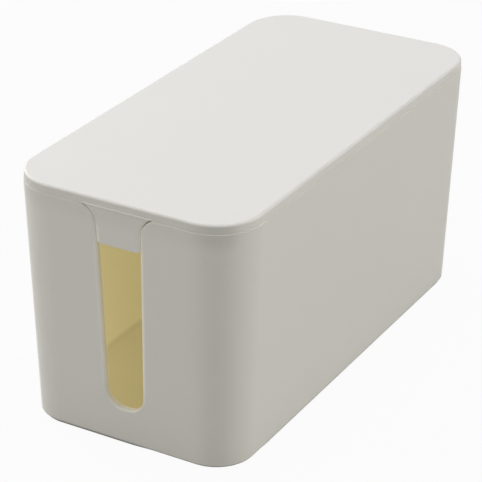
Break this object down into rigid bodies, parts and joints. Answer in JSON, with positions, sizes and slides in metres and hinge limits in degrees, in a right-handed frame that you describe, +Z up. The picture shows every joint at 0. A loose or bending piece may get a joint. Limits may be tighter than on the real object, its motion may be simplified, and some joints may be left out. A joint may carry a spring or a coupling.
{
  "type": "cable management box",
  "caption": "Deep round-cornered box that hides a power strip and its plugs, with a lift-off lid and a flared cable slot in each end that a tab on the lid closes at the top.",
  "frame": {"origin": "middle of the footprint, on the surface the box stands on", "axes": "+Z up; +Y along the length, from the front slotted end to the back one; +X across the width, to the right when looking at the front end"},
  "size_m": [0.115, 0.235, 0.1195],
  "materials": {
    "tub": "satin",
    "lid": "satin",
    "foot": "matte"
  },
  "bodies": {
    "tub": {"tub": "tub", "foot_front_left": "foot", "foot_front_right": "foot", "foot_back_left": "foot", "foot_back_right": "foot"},
    "lid": {"lid": "lid"}
  },
  "joints": [
    {"name": "lid_lift", "type": "slide", "parent": "tub", "child": "lid", "axis": [0, 0, 1], "range_m": [0, 0.08]}
  ]
}
